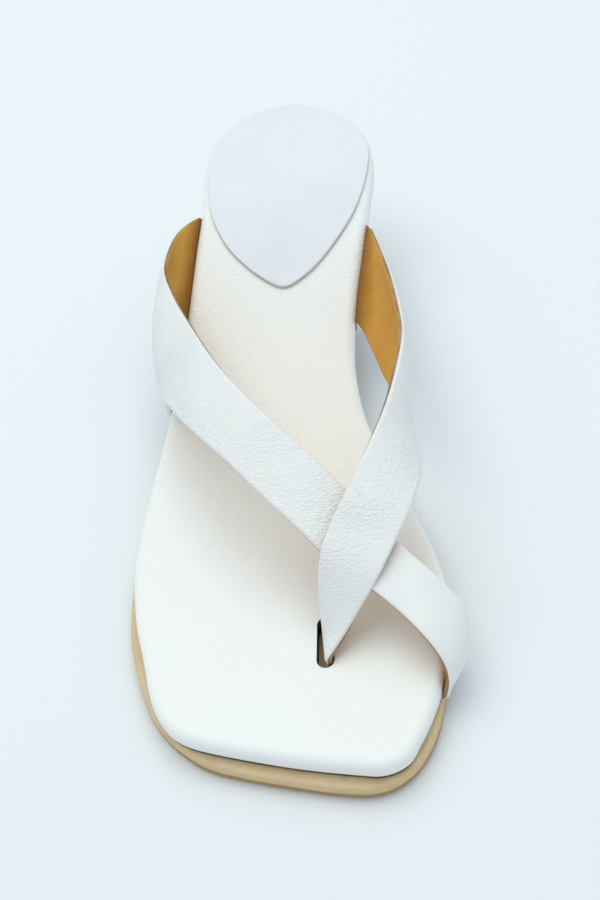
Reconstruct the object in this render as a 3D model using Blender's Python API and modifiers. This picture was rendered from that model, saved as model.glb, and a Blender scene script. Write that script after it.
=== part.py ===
"""White heeled toe-post sandal, right shoe, modelled as its maker's pieces.

Metres, +Z up, floor at Z = 0. The toe points to -Y, the heel to +Y, and +X is the big-toe (medial) side.
The origin is on the tread, under the ball of the foot.
"""
import math

import bmesh
import bpy
import numpy as np

# Driving sizes of the footbed
LENGTH = 0.245
BALL_WIDTH = 0.0905
FOOTBED_THICKNESS = 0.0070
FOOTBED_ROUNDING = 0.0024
SEAT_RISE = 0.038
TOE_SPRING = 0.0006
JOIN_GAP = 0.0003

# Outsole
OUTSOLE_THICKNESS = 0.0052
WAIST_THICKNESS = 0.0030
OUTSOLE_ROUNDING = 0.0011
OUTSOLE_END = 0.786

# Heel block and top lift
HEEL_BREAST = 0.788
HEEL_INSET = 0.0016
HEEL_ROUNDING = 0.0010
LIFT_THICKNESS = 0.0060
LIFT_SCALE = 0.80
LIFT_CENTRE = 0.895
HEEL_LEVELS = (0.30, 0.55, 0.80)

# Heel pad
PAD_THICKNESS = 0.0011
PAD_ROUNDING = 0.0004

# Straps
STRAP_THICKNESS = 0.0022
STRAP_RISE = 0.037
TUCK_DEPTH = 0.0085
ROOT_GAP = 0.0005
ROOT_END_ROOM = 0.0010
POST_REAR = (0.191, 0.091)
POST_FRONT = (0.134, 0.104)
SLOT_REAR = (0.197, 0.095)
SLOT_FRONT = (0.128, 0.092)
SLOT_WIDTH = 0.0050
SLOT_CORNER = 0.42

# How high the post's rows stand over the footbed (share of STRAP_RISE) and how deep they go into it
# (shares of FOOTBED_THICKNESS)
POST_ABOVE = 0.03
POST_DEPTHS = (0.0, 0.5, 1.0)
# How far the pocket cutters reach under the footbed, as a share of FOOTBED_THICKNESS
POCKET_REACH = 0.33

# Fineness of the faceted solids
OUTLINE_STEPS = 3
STATION_STEP = 0.031
STATION_SNAP = 0.00002
STRAP_COLUMNS = 5
STRAP_STEPS = 3
POCKET_COLUMNS = 10

# Where the origin lies along the shoe, as a share of LENGTH from the toe
REST_SHARE = 0.245

# Footbed outline, closed, from the lateral heel round the toe: along = share of LENGTH from the toe,
# across = share of BALL_WIDTH, medial positive
OUTLINE = (
    (0.878, -0.322), (0.825, -0.330), (0.750, -0.361), (0.670, -0.393), (0.588, -0.427),
    (0.506, -0.460), (0.425, -0.497), (0.350, -0.524), (0.285, -0.534), (0.212, -0.513),
    (0.150, -0.474), (0.103, -0.444), (0.075, -0.410), (0.053, -0.358), (0.037, -0.262),
    (0.014, -0.020), (0.001, 0.180), (-0.001, 0.262), (0.010, 0.328), (0.031, 0.364),
    (0.060, 0.402), (0.100, 0.441), (0.150, 0.471), (0.212, 0.484), (0.280, 0.452),
    (0.350, 0.390), (0.425, 0.314), (0.506, 0.241), (0.588, 0.211), (0.670, 0.227),
    (0.750, 0.266), (0.825, 0.305), (0.878, 0.321), (0.930, 0.290), (0.975, 0.190),
    (0.998, 0.0), (0.975, -0.190), (0.930, -0.290),
)

# Outline of the outsole in the same order, wider than the footbed at the toe and narrower in the waist
SOLE_OUTLINE = (
    (0.878, -0.298), (0.825, -0.306), (0.750, -0.338), (0.670, -0.371), (0.588, -0.408),
    (0.506, -0.444), (0.425, -0.488), (0.350, -0.527), (0.285, -0.549), (0.212, -0.545),
    (0.150, -0.509), (0.105, -0.465), (0.077, -0.422), (0.050, -0.354), (0.025, -0.250),
    (0.002, -0.020), (-0.011, 0.170), (-0.009, 0.260), (0.006, 0.332), (0.030, 0.385),
    (0.060, 0.423), (0.100, 0.450), (0.150, 0.476), (0.212, 0.490), (0.280, 0.456),
    (0.350, 0.389), (0.425, 0.305), (0.506, 0.225), (0.588, 0.192), (0.670, 0.205),
    (0.750, 0.243), (0.825, 0.281), (0.878, 0.297), (0.930, 0.268), (0.968, 0.178),
    (0.990, 0.0), (0.968, -0.178), (0.930, -0.268),
)

# Top of the footbed from toe to heel: along, share of SEAT_RISE
PROFILE = (
    (0.0, 0.0), (0.340, 0.0), (0.404, 0.012), (0.465, 0.037), (0.527, 0.088), (0.588, 0.173),
    (0.649, 0.305), (0.710, 0.470), (0.771, 0.645), (0.833, 0.800), (0.894, 0.905),
    (0.955, 0.975), (1.0, 1.0),
)
SPRING_END = 0.125
ARCH_START = 0.340

# How thick the outsole is: along, share of the step from forefoot to waist thickness
THINNING = ((0.0, 0.0), (0.340, 0.0), (0.560, 1.0), (1.0, 1.0))

# Teardrop outline of the heel pad: along, across
PAD_OUTLINE = (
    (0.992, 0.0), (0.970, -0.165), (0.935, -0.260), (0.893, -0.300), (0.850, -0.309), (0.815, -0.302),
    (0.785, -0.280), (0.752, -0.232), (0.722, -0.155), (0.702, -0.082), (0.695, -0.032),
    (0.702, 0.020), (0.722, 0.092), (0.755, 0.172), (0.790, 0.237), (0.825, 0.278), (0.860, 0.302),
    (0.895, 0.306), (0.935, 0.265), (0.970, 0.165),
)

# Sections of the two straps. Each row gives the rear edge and the front edge of the strap, each as
# along (share of LENGTH), across (share of BALL_WIDTH), height over the footbed (share of STRAP_RISE),
# and then the outward crown at mid width as a share of STRAP_THICKNESS.
MEDIAL_STRAP = (
    ((0.678, 0.354, 0.300), (0.610, 0.265, 0.076), 1.0),
    ((0.589, 0.381, 0.611), (0.539, 0.320, 0.190), 1.3),
    ((0.517, 0.387, 0.805), (0.473, 0.365, 0.376), 1.0),
    ((0.422, 0.343, 0.924), (0.400, 0.403, 0.484), 0.7),
    ((0.357, 0.287, 0.932), (0.335, 0.420, 0.600), 0.5),
    ((0.280, 0.188, 0.811), (0.265, 0.381, 0.684), 0.2),
    ((0.249, 0.138, 0.711), (0.224, 0.326, 0.605), 0.0),
    ((0.220, 0.106, 0.640), (0.191, 0.272, 0.510), 0.1),
    ((0.204, 0.093, 0.470), (0.169, 0.212, 0.335), 0.3),
    ((0.196, 0.090, 0.245), (0.150, 0.156, 0.165), 0.2),
)
LATERAL_STRAP = (
    ((0.763, -0.420, 0.157), (0.540, -0.456, 0.010), 0.9),
    ((0.697, -0.453, 0.354), (0.531, -0.455, 0.100), 1.7),
    ((0.632, -0.409, 0.562), (0.516, -0.449, 0.220), 1.8),
    ((0.559, -0.331, 0.789), (0.490, -0.431, 0.420), 0.9),
    ((0.486, -0.238, 0.908), (0.437, -0.365, 0.611), 0.5),
    ((0.429, -0.144, 0.951), (0.384, -0.282, 0.757), 0.3),
    ((0.376, -0.044, 0.989), (0.335, -0.177, 0.789), 0.2),
    ((0.337, 0.059, 0.911), (0.286, -0.072, 0.765), 0.1),
    ((0.296, 0.173, 0.773), (0.245, 0.039, 0.673), 0.0),
    ((0.259, 0.273, 0.638), (0.212, 0.133, 0.557), 0.0),
    ((0.227, 0.359, 0.524), (0.188, 0.227, 0.468), 0.1),
    ((0.200, 0.442, 0.416), (0.161, 0.320, 0.378), 0.5),
    ((0.180, 0.512, 0.243), (0.129, 0.398, 0.311), 0.9),
    ((0.172, 0.527, 0.120), (0.108, 0.447, 0.190), 1.1),
    ((0.169, 0.518, -0.010), (0.097, 0.460, 0.050), 1.3),
)
# Where the straps leave the rim of the footbed: rear edge, front edge
MEDIAL_ROOT = (0.778, 0.645)
LATERAL_ROOT = (0.809, 0.539)
TOE_ROOT = (0.169, 0.092)

# Cuts across the shoe: none where the forefoot is flat, then evenly up the arch
ARCH_CUTS = [ARCH_START + STATION_STEP * i for i in range(int((1.0 - ARCH_START) / STATION_STEP))]
STATIONS = [0.0, SPRING_END] + ARCH_CUTS + [1.0]

PART = bpy.data.collections.new("heeled_toe_post_sandal")
CUTTERS = bpy.data.collections.new("cutters")


def clear_scene():
    for old in list(bpy.data.objects):
        bpy.data.objects.remove(old, do_unlink=True)
    bpy.context.scene.collection.children.link(PART)
    bpy.context.scene.collection.children.link(CUTTERS)


def material(name, colour, roughness):
    made = bpy.data.materials.new(name)
    made.use_nodes = True
    shader = made.node_tree.nodes["Principled BSDF"]
    shader.inputs["Base Color"].default_value = (*colour, 1.0)
    shader.inputs["Roughness"].default_value = roughness
    shader.inputs["Metallic"].default_value = 0.0
    return made


def along(share):
    return (share - REST_SHARE) * LENGTH


def share_along(y):
    return y / LENGTH + REST_SHARE


def eased(table, at, column=1):
    """Smooth value of one column of a table, with no overshoot between its rows."""
    x = [row[0] for row in table]
    v = [row[column] for row in table]
    at = min(max(at, x[0]), x[-1])
    slopes = [(v[i + 1] - v[i]) / (x[i + 1] - x[i]) for i in range(len(x) - 1)]
    i = min(max(int(np.searchsorted(x, at)) - 1, 0), len(x) - 2)

    def tangent(k):
        if k == 0 or k == len(x) - 1:
            return slopes[min(k, len(slopes) - 1)]
        before, after = slopes[k - 1], slopes[k]
        return 0.0 if before * after <= 0.0 else 2.0 * before * after / (before + after)

    step = x[i + 1] - x[i]
    t = (at - x[i]) / step
    return ((1 + 2 * t) * (1 - t) ** 2 * v[i] + t * (1 - t) ** 2 * step * tangent(i)
            + t * t * (3 - 2 * t) * v[i + 1] + t * t * (t - 1) * step * tangent(i + 1))


def smooth_top(share):
    spring = max(0.0, 1.0 - share / SPRING_END) * TOE_SPRING
    return OUTSOLE_THICKNESS + JOIN_GAP + FOOTBED_THICKNESS + SEAT_RISE * eased(PROFILE, share) + spring


def footbed_top(y):
    """Height of the footbed's top face, straight between the stations that every plate is cut at."""
    return float(np.interp(share_along(y), STATIONS, STATION_TOPS))


STATION_TOPS = [smooth_top(share) for share in STATIONS]
STATION_THINNING = [eased(THINNING, share) for share in STATIONS]


def footbed_bottom(y):
    return footbed_top(y) - FOOTBED_THICKNESS


def outsole_top(y):
    return footbed_bottom(y) - JOIN_GAP


def outsole_bottom(y):
    thinned = float(np.interp(share_along(y), STATIONS, STATION_THINNING))
    return outsole_top(y) - OUTSOLE_THICKNESS + thinned * (OUTSOLE_THICKNESS - WAIST_THICKNESS)


def catmull(p0, p1, p2, p3, t):
    return 0.5 * (2 * p1 + (p2 - p0) * t + (2 * p0 - 5 * p1 + 4 * p2 - p3) * t ** 2
                  + (3 * p1 - p0 - 3 * p2 + p3) * t ** 3)


def closed_curve(table):
    """Smooth closed plan curve through the rows of a table of along and across shares."""
    points = [np.array((across * BALL_WIDTH, along(share))) for share, across in table]
    count = len(points)
    curve = []
    for i in range(count):
        near = [points[(i + k) % count] for k in (-1, 0, 1, 2)]
        curve += [catmull(*near, step / OUTLINE_STEPS) for step in range(OUTLINE_STEPS)]
    return curve


def turning(curve):
    """1 for a curve that runs clockwise seen from above, and -1 for the other way."""
    area = sum(a[0] * b[1] - a[1] * b[0] for a, b in zip(curve, curve[1:] + curve[:1]))
    return 1.0 if area < 0.0 else -1.0


def grown(curve, growth):
    """The curve moved outwards by growth(point), along its own normals."""
    outwards = turning(curve)
    moved = []
    for i, point in enumerate(curve):
        run = curve[(i + 1) % len(curve)] - curve[i - 1]
        normal = np.array((-run[1], run[0])) / np.linalg.norm(run)
        moved.append(point + normal * outwards * growth(point))
    return moved


def behind(curve, limit):
    """The part of a plan curve that lies behind a line across the shoe, closed by that line."""
    return clipped(curve, limit, 1.0)


def before(curve, limit):
    return clipped(curve, limit, -1.0)


def clipped(curve, limit, sign):
    kept = []
    for a, b in zip(curve, curve[1:] + curve[:1]):
        inside_a = sign * (a[1] - limit) >= 0.0
        inside_b = sign * (b[1] - limit) >= 0.0
        if inside_a:
            kept.append(a)
        if inside_a != inside_b:
            t = (limit - a[1]) / (b[1] - a[1])
            kept.append(a + (b - a) * t)
    return kept


def slab(curve, top_at, bottom_at, rounding, segments):
    """A plate with a plan outline and rounded rims, whose faces follow two height functions along the shoe."""
    mesh = bmesh.new()
    rings = []
    for side in (1, -1):
        for step in range(segments + 1):
            angle = math.pi / 2 * (step if side > 0 else segments - step) / segments
            inset = rounding * (1.0 - math.sin(angle))
            depth = rounding * (1.0 - math.cos(angle))
            outline = grown(curve, lambda point: -inset)
            rings.append([mesh.verts.new((x, y, side * (1.0 - depth))) for x, y in outline])
    mesh.faces.new(rings[0])
    mesh.faces.new(rings[-1][::-1])
    for above, below in zip(rings, rings[1:]):
        for i in range(len(curve)):
            j = (i + 1) % len(curve)
            mesh.faces.new((above[i], below[i], below[j], above[j]))
    bmesh.ops.recalc_face_normals(mesh, faces=mesh.faces[:])
    for share in STATIONS[1:-1]:
        everything = mesh.verts[:] + mesh.edges[:] + mesh.faces[:]
        cut = (0, along(share), 0)
        bmesh.ops.bisect_plane(mesh, geom=everything, dist=STATION_SNAP, plane_co=cut, plane_no=(0, 1, 0))
    for vert in mesh.verts:
        y = vert.co.y
        vert.co.z = top_at(y) - (1.0 - vert.co.z) if vert.co.z > 0.0 else bottom_at(y) + (1.0 + vert.co.z)
    return mesh


def place(name, mesh, finish, collection=PART):
    data = bpy.data.meshes.new(name)
    mesh.to_mesh(data)
    mesh.free()
    made = bpy.data.objects.new(name, data)
    collection.objects.link(made)
    if finish is not None:
        data.materials.append(finish)
    if collection is CUTTERS:
        made.hide_render = True
        made.display_type = "WIRE"
    return made


def combine(made, other, operation):
    boolean = made.modifiers.new(other.name, "BOOLEAN")
    boolean.operation = operation
    boolean.object = other
    boolean.solver = "EXACT"


def rim_across(curve, y, side):
    """Where a plan curve crosses a line across the shoe, on one side of it."""
    found = []
    for a, b in zip(curve, curve[1:] + curve[:1]):
        if (a[1] - y) * (b[1] - y) <= 0.0 and a[1] != b[1]:
            found.append(a[0] + (b[0] - a[0]) * (y - a[1]) / (b[1] - a[1]))
    return max(found) if side > 0 else min(found)


def root_places(root, count):
    """Places along the shoe from a strap's rear edge to its front edge."""
    return [along(root[0] + (root[1] - root[0]) * i / count) for i in range(count + 1)]


def rim_rows(curve, root, side):
    """Rows that bring a strap out from under the footbed, round the rim's lower edge and up past it."""
    clear = STRAP_THICKNESS / 2 + ROOT_GAP
    corner = STRAP_THICKNESS + 2 * ROOT_GAP
    slant = clear * math.sqrt(0.5)
    path = ((-TUCK_DEPTH, corner - clear), (0.0, corner - clear), (slant, corner - slant), (clear, corner))
    rows = [[] for _ in range(len(path) + 1)]
    for y in root_places(root, STRAP_COLUMNS):
        rim = rim_across(curve, y, side)
        for row, (outwards, level) in zip(rows, path):
            row.append(np.array((rim + side * outwards, y, footbed_bottom(y) + level)))
        rows[-1].append(np.array((rim + side * clear, y, footbed_top(y) - FOOTBED_ROUNDING / 2)))
    return rows


def strap_rows(table):
    rows = []
    for rear, front, crown in table:
        ends = []
        for share, across, height in (rear, front):
            y = along(share)
            ends.append(np.array((across * BALL_WIDTH, y, footbed_top(y) + height * STRAP_RISE)))
        rows.append((ends[0], ends[1], crown * STRAP_THICKNESS))
    return rows


def crowned(rows, facing):
    """Columns of points across each section, raised at mid width towards the outer face."""
    grid = []
    for i, (rear, front, crown) in enumerate(rows):
        ahead = rows[min(i + 1, len(rows) - 1)]
        back = rows[max(i - 1, 0)]
        run = (ahead[0] + ahead[1] - back[0] - back[1]) / 2
        normal = np.cross(run, rear - front) * facing
        normal = normal / np.linalg.norm(normal)
        row = []
        for column in range(STRAP_COLUMNS + 1):
            t = column / STRAP_COLUMNS
            row.append(rear + (front - rear) * t + normal * crown * 4 * t * (1 - t))
        grid.append(row)
    return grid


def joined(head, body, tail):
    """All rows of a strap, with smooth rows added between its free sections but not at its ends."""
    grid = head + body + tail
    first, last = len(head) - 1, len(head) + len(body)
    rows = grid[:first]
    for i in range(first, last):
        near = [grid[min(max(i + k, 0), len(grid) - 1)] for k in (-1, 0, 1, 2)]
        for step in range(STRAP_STEPS):
            t = step / STRAP_STEPS
            rows.append([catmull(*[row[c] for row in near], t) for c in range(STRAP_COLUMNS + 1)])
    return rows + grid[last:]


def ribbon(name, grid, thickness, finish, collection):
    """An open sheet through the grid, thickened evenly to both sides."""
    mesh = bmesh.new()
    verts = [[mesh.verts.new(point) for point in row] for row in grid]
    for a, b in zip(verts, verts[1:]):
        for c in range(STRAP_COLUMNS):
            mesh.faces.new((a[c], b[c], b[c + 1], a[c + 1]))
    made = place(name, mesh, finish, collection)
    solid = made.modifiers.new("thickness", "SOLIDIFY")
    solid.thickness = thickness
    solid.offset = 0.0
    solid.use_even_offset = True
    solid.use_quality_normals = True
    return made


def post_rows():
    """Rows that take the medial strap down through the toe-post slot, top first."""
    rows = []
    for lift in [POST_ABOVE * STRAP_RISE] + [-depth * FOOTBED_THICKNESS for depth in POST_DEPTHS]:
        row = []
        for column in range(STRAP_COLUMNS + 1):
            t = column / STRAP_COLUMNS
            y = along(POST_REAR[0] + (POST_FRONT[0] - POST_REAR[0]) * t)
            x = (POST_REAR[1] + (POST_FRONT[1] - POST_REAR[1]) * t) * BALL_WIDTH
            row.append(np.array((x, y, footbed_top(y) + lift)))
        rows.append(row)
    return rows


def slot_cutter():
    """The toe-post slot, in which the strap stands close to the medial side."""
    mesh = bmesh.new()
    rear = np.array((SLOT_REAR[1] * BALL_WIDTH, along(SLOT_REAR[0])))
    front = np.array((SLOT_FRONT[1] * BALL_WIDTH, along(SLOT_FRONT[0])))
    run = front - rear
    length = np.linalg.norm(run)
    middle = (rear + front) / 2
    turn = math.atan2(run[1], run[0])
    corner = SLOT_WIDTH * SLOT_CORNER
    points = []
    for centre_x, centre_y, start in ((1, 1, 0), (-1, 1, 90), (-1, -1, 180), (1, -1, 270)):
        for step in range(4):
            angle = math.radians(start + 30 * step)
            points.append((centre_x * (length / 2 - corner) + corner * math.cos(angle),
                           centre_y * (SLOT_WIDTH / 2 - corner) + corner * math.sin(angle)))
    deep = 2 * FOOTBED_THICKNESS
    ring = []
    for x, y in points:
        ring.append(mesh.verts.new((middle[0] + x * math.cos(turn) - y * math.sin(turn),
                                    middle[1] + x * math.sin(turn) + y * math.cos(turn),
                                    footbed_bottom(0.0) - FOOTBED_THICKNESS / 2)))
    face = mesh.faces.new(ring)
    raised = bmesh.ops.extrude_face_region(mesh, geom=[face])["geom"]
    bmesh.ops.translate(mesh, vec=(0, 0, deep), verts=[v for v in raised if isinstance(v, bmesh.types.BMVert)])
    bmesh.ops.recalc_face_normals(mesh, faces=mesh.faces[:])
    return place("toe_post_slot", mesh, None, CUTTERS)


def pocket(name, curve, root, side):
    """A recess in the underside of the footbed's rim that takes the end of a strap, open below and outside."""
    mesh = bmesh.new()
    sections = []
    places = root_places(root, POCKET_COLUMNS)
    reach = math.copysign(ROOT_END_ROOM, places[0] - places[-1])
    places[0] += reach
    places[-1] -= reach
    for y in places:
        rim = rim_across(curve, y, side)
        roof = footbed_bottom(y) + STRAP_THICKNESS + 2 * ROOT_GAP
        floor = footbed_bottom(y) - POCKET_REACH * FOOTBED_THICKNESS
        corners = ((-TUCK_DEPTH - JOIN_GAP, floor), (FOOTBED_THICKNESS, floor),
                   (FOOTBED_THICKNESS, roof), (-TUCK_DEPTH - JOIN_GAP, roof))
        sections.append([mesh.verts.new((rim + side * x, y, z)) for x, z in corners])
    mesh.faces.new(sections[0])
    mesh.faces.new(sections[-1][::-1])
    for a, b in zip(sections, sections[1:]):
        for i in range(4):
            mesh.faces.new((a[i], b[i], b[(i + 1) % 4], a[(i + 1) % 4]))
    bmesh.ops.recalc_face_normals(mesh, faces=mesh.faces[:])
    return place(name, mesh, None, CUTTERS)


def make_upper(plan, white):
    medial = joined(rim_rows(plan, MEDIAL_ROOT, 1), crowned(strap_rows(MEDIAL_STRAP), -1), post_rows())
    lateral = joined(rim_rows(plan, LATERAL_ROOT, -1), crowned(strap_rows(LATERAL_STRAP), 1),
                     rim_rows(plan, TOE_ROOT, 1)[-2::-1])
    upper = ribbon("upper", medial, STRAP_THICKNESS, white, PART)
    under = ribbon("under_strap", lateral, STRAP_THICKNESS, None, CUTTERS)
    combine(upper, under, "UNION")


def make_footbed(plan, white):
    made = place("footbed", slab(plan, footbed_top, footbed_bottom, FOOTBED_ROUNDING, 3), white)
    cutters = [slot_cutter(), pocket("medial_pocket", plan, MEDIAL_ROOT, 1),
               pocket("lateral_pocket", plan, LATERAL_ROOT, -1), pocket("toe_pocket", plan, TOE_ROOT, 1)]
    for cutter in cutters:
        combine(made, cutter, "DIFFERENCE")


def make_outsole(tan):
    outline = before(closed_curve(SOLE_OUTLINE), along(OUTSOLE_END))
    place("outsole", slab(outline, outsole_top, outsole_bottom, OUTSOLE_ROUNDING, 2), tan)


def tapered(x, y, depth):
    """A point of the heel's plan, drawn in towards the lift; depth is 0 at the seat and 1 at the lift."""
    scale = 1.0 + (LIFT_SCALE - 1.0) * (1.0 - (1.0 - depth) ** 2)
    centre = along(LIFT_CENTRE)
    return x * scale, centre + (y - centre) * scale


def make_heel(plan, white, rubber):
    seat = behind(grown(plan, lambda point: -HEEL_INSET), along(HEEL_BREAST))
    base = LIFT_THICKNESS + JOIN_GAP
    under = footbed_bottom(along(HEEL_BREAST)) - JOIN_GAP
    block = slab(seat, outsole_top, lambda y: base, HEEL_ROUNDING, 1)
    for level in HEEL_LEVELS:
        everything = block.verts[:] + block.edges[:] + block.faces[:]
        height = base + (under - base) * level
        cut = (0, 0, height)
        bmesh.ops.bisect_plane(block, geom=everything, dist=STATION_SNAP, plane_co=cut, plane_no=(0, 0, 1))
    for vert in block.verts:
        depth = min(1.0, max(0.0, (under - vert.co.z) / (under - base)))
        vert.co.x, vert.co.y = tapered(vert.co.x, vert.co.y, depth)
    place("heel", block, white)
    foot = [np.array(tapered(x, y, 1.0)) for x, y in seat]
    place("top_lift", slab(foot, lambda y: LIFT_THICKNESS, lambda y: 0.0, HEEL_ROUNDING, 1), rubber)


def make_pad(leather):
    def low(y):
        return footbed_top(y) + JOIN_GAP

    def high(y):
        return footbed_top(y) + JOIN_GAP + PAD_THICKNESS

    place("heel_pad", slab(closed_curve(PAD_OUTLINE), high, low, PAD_ROUNDING, 1), leather)


def main():
    clear_scene()
    white = material("white_leather", (0.86, 0.88, 0.90), 0.45)
    cream = material("footbed_leather", (0.88, 0.87, 0.85), 0.50)
    smooth = material("pad_leather", (0.80, 0.80, 0.84), 0.40)
    tan = material("tan_rubber", (0.62, 0.46, 0.28), 0.60)
    plan = closed_curve(OUTLINE)
    make_upper(plan, white)
    make_footbed(plan, cream)
    make_outsole(tan)
    make_heel(plan, white, tan)
    make_pad(smooth)
    for made in PART.objects:
        made.data.shade_smooth()
        made.data.set_sharp_from_angle(angle=math.radians(40))


main()
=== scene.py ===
"""The looks of a white heeled toe-post sandal, right shoe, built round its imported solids.

Metres, +Z up, floor at Z = 0. The toe points to -Y, the heel to +Y, and +X is the big-toe (medial) side.
"""
import math

import bmesh
import bpy
import numpy as np
from mathutils import Matrix, Vector


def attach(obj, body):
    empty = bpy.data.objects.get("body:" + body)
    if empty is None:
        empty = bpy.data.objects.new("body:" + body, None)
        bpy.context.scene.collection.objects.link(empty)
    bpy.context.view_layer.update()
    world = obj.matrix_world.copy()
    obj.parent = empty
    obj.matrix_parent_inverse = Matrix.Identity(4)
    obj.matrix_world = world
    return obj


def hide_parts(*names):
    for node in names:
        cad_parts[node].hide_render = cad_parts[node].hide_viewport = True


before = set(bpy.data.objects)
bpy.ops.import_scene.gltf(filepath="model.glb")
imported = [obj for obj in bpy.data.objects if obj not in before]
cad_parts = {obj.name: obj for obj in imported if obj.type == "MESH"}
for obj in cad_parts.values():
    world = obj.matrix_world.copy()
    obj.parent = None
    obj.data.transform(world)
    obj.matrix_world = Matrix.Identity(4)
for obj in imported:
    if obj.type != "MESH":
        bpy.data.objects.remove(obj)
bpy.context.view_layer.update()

# Driving sizes, as in the solids
LENGTH = 0.245
BALL_WIDTH = 0.0905
REST_SHARE = 0.245
JOIN_GAP = 0.0003
BED_THICKNESS = 0.0070
BED_ROUNDING = 0.0027
SEAT_RISE = 0.038
TOE_SPRING = 0.0006
SPRING_END = 0.125
SOLE_THICKNESS = 0.0052
WAIST_THICKNESS = 0.0030
SOLE_ROUNDING = 0.0012
SOLE_END = 0.786
HEEL_BREAST = 0.788
HEEL_INSET = 0.0016
HEEL_ROUNDING = 0.0012
LIFT_THICKNESS = 0.0060
LIFT_SCALE = 0.80
LIFT_CENTRE = 0.895
PAD_THICKNESS = 0.0011
PAD_ROUNDING = 0.0004
STRAP_THICKNESS = 0.0020
STRAP_RISE = 0.037
TUCK_DEPTH = 0.0080
ROOT_GAP = 0.0005
POST_REAR = (0.191, 0.091)
POST_FRONT = (0.134, 0.104)
POST_ABOVE = 0.03
POST_DEPTHS = (0.0, 0.5, 0.9)
SLOT_REAR = (0.197, 0.095)
SLOT_FRONT = (0.128, 0.092)
SLOT_WIDTH = 0.0050

# Footbed outline, closed, from the lateral heel round the toe: along = share of LENGTH from the toe,
# across = share of BALL_WIDTH, medial positive
OUTLINE = (
    (0.878, -0.322), (0.825, -0.330), (0.750, -0.361), (0.670, -0.393), (0.588, -0.427),
    (0.506, -0.460), (0.425, -0.497), (0.350, -0.524), (0.285, -0.534), (0.212, -0.513),
    (0.150, -0.474), (0.103, -0.444), (0.075, -0.410), (0.053, -0.358), (0.037, -0.262),
    (0.014, -0.020), (0.001, 0.180), (-0.001, 0.262), (0.010, 0.328), (0.031, 0.364),
    (0.060, 0.402), (0.100, 0.441), (0.150, 0.471), (0.212, 0.484), (0.280, 0.452),
    (0.350, 0.390), (0.425, 0.314), (0.506, 0.241), (0.588, 0.211), (0.670, 0.227),
    (0.750, 0.266), (0.825, 0.305), (0.878, 0.321), (0.930, 0.290), (0.975, 0.190),
    (0.998, 0.0), (0.975, -0.190), (0.930, -0.290),
)
# Rows of OUTLINE where the plan turns a corner: lateral toe, medial toe, medial heel, lateral heel
OUTLINE_CORNERS = (12, 18, 33, 37)

# Outline of the outsole in the same order, wider than the footbed at the toe and narrower in the waist
SOLE_OUTLINE = (
    (0.878, -0.298), (0.825, -0.306), (0.750, -0.338), (0.670, -0.371), (0.588, -0.408),
    (0.506, -0.444), (0.425, -0.488), (0.350, -0.527), (0.285, -0.549), (0.212, -0.545),
    (0.150, -0.509), (0.105, -0.465), (0.077, -0.422), (0.050, -0.354), (0.025, -0.250),
    (0.002, -0.020), (-0.011, 0.170), (-0.009, 0.260), (0.006, 0.332), (0.030, 0.385),
    (0.060, 0.423), (0.100, 0.450), (0.150, 0.476), (0.212, 0.490), (0.280, 0.456),
    (0.350, 0.389), (0.425, 0.305), (0.506, 0.225), (0.588, 0.192), (0.670, 0.205),
    (0.750, 0.243), (0.825, 0.281), (0.878, 0.297), (0.930, 0.268), (0.968, 0.178),
    (0.990, 0.0), (0.968, -0.178), (0.930, -0.268),
)

# Top of the footbed from toe to heel: along, share of SEAT_RISE
PROFILE = (
    (0.0, 0.0), (0.340, 0.0), (0.404, 0.012), (0.465, 0.037), (0.527, 0.088), (0.588, 0.173),
    (0.649, 0.305), (0.710, 0.470), (0.771, 0.645), (0.833, 0.800), (0.894, 0.905),
    (0.955, 0.975), (1.0, 1.0),
)

# How thick the outsole is: along, share of the step from forefoot to waist thickness
THINNING = ((0.0, 0.0), (0.340, 0.0), (0.560, 1.0), (1.0, 1.0))

# Teardrop outline of the heel pad: along, across
PAD_OUTLINE = (
    (0.992, 0.0), (0.970, -0.165), (0.935, -0.260), (0.893, -0.300), (0.850, -0.309), (0.815, -0.302),
    (0.785, -0.280), (0.752, -0.232), (0.722, -0.155), (0.702, -0.082), (0.695, -0.032),
    (0.702, 0.020), (0.722, 0.092), (0.755, 0.172), (0.790, 0.237), (0.825, 0.278), (0.860, 0.302),
    (0.895, 0.306), (0.935, 0.265), (0.970, 0.165),
)
PAD_CORNERS = (3, 8, 13, 18)

# Sections of the two straps. Each row gives the rear edge and the front edge of the strap, each as
# along (share of LENGTH), across (share of BALL_WIDTH), height over the footbed (share of STRAP_RISE),
# and then the outward crown at mid width as a share of STRAP_THICKNESS.
MEDIAL_STRAP = (
    ((0.678, 0.354, 0.300), (0.610, 0.265, 0.076), 1.0),
    ((0.589, 0.381, 0.611), (0.539, 0.320, 0.190), 1.3),
    ((0.517, 0.387, 0.805), (0.473, 0.365, 0.376), 1.0),
    ((0.422, 0.343, 0.924), (0.400, 0.403, 0.484), 0.7),
    ((0.357, 0.287, 0.932), (0.335, 0.420, 0.600), 0.5),
    ((0.280, 0.188, 0.811), (0.265, 0.381, 0.684), 0.2),
    ((0.249, 0.138, 0.711), (0.224, 0.326, 0.605), 0.0),
    ((0.220, 0.106, 0.640), (0.191, 0.272, 0.510), 0.1),
    ((0.204, 0.093, 0.470), (0.169, 0.212, 0.335), 0.3),
    ((0.196, 0.090, 0.245), (0.150, 0.156, 0.165), 0.2),
)
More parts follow.
